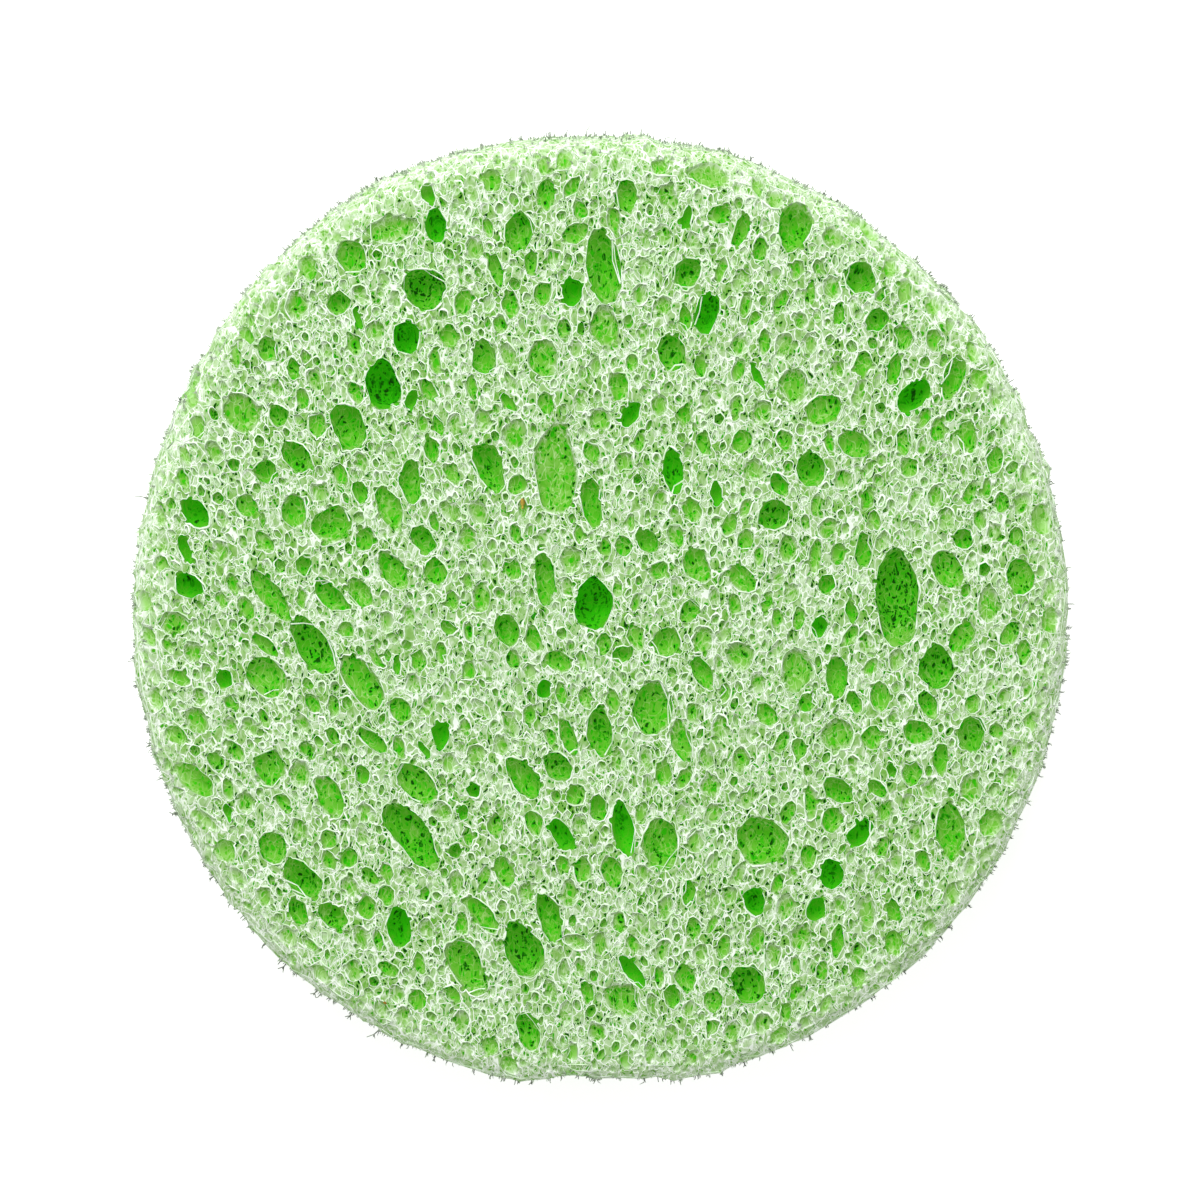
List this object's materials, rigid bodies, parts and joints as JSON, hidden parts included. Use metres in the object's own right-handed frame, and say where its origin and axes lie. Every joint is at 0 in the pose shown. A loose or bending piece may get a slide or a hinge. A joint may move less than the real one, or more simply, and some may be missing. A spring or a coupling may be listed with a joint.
{
  "type": "round cellulose face sponge",
  "caption": "Round flat pale green cellulose facial sponge, dry and expanded, with open elongated pores on both faces and the rim.",
  "frame": {"origin": "centre of the bottom of the bounding box, on the flat back face that the sponge lies on", "axes": "+Z along the disc's axis, out of the pictured front face; +Y towards the top of the picture; +X towards its right"},
  "size_m": [0.08, 0.081, 0.012],
  "materials": {
    "sponge": "matte open-celled cellulose foam"
  },
  "bodies": {
    "root": {"sponge": "sponge"}
  },
  "joints": []
}
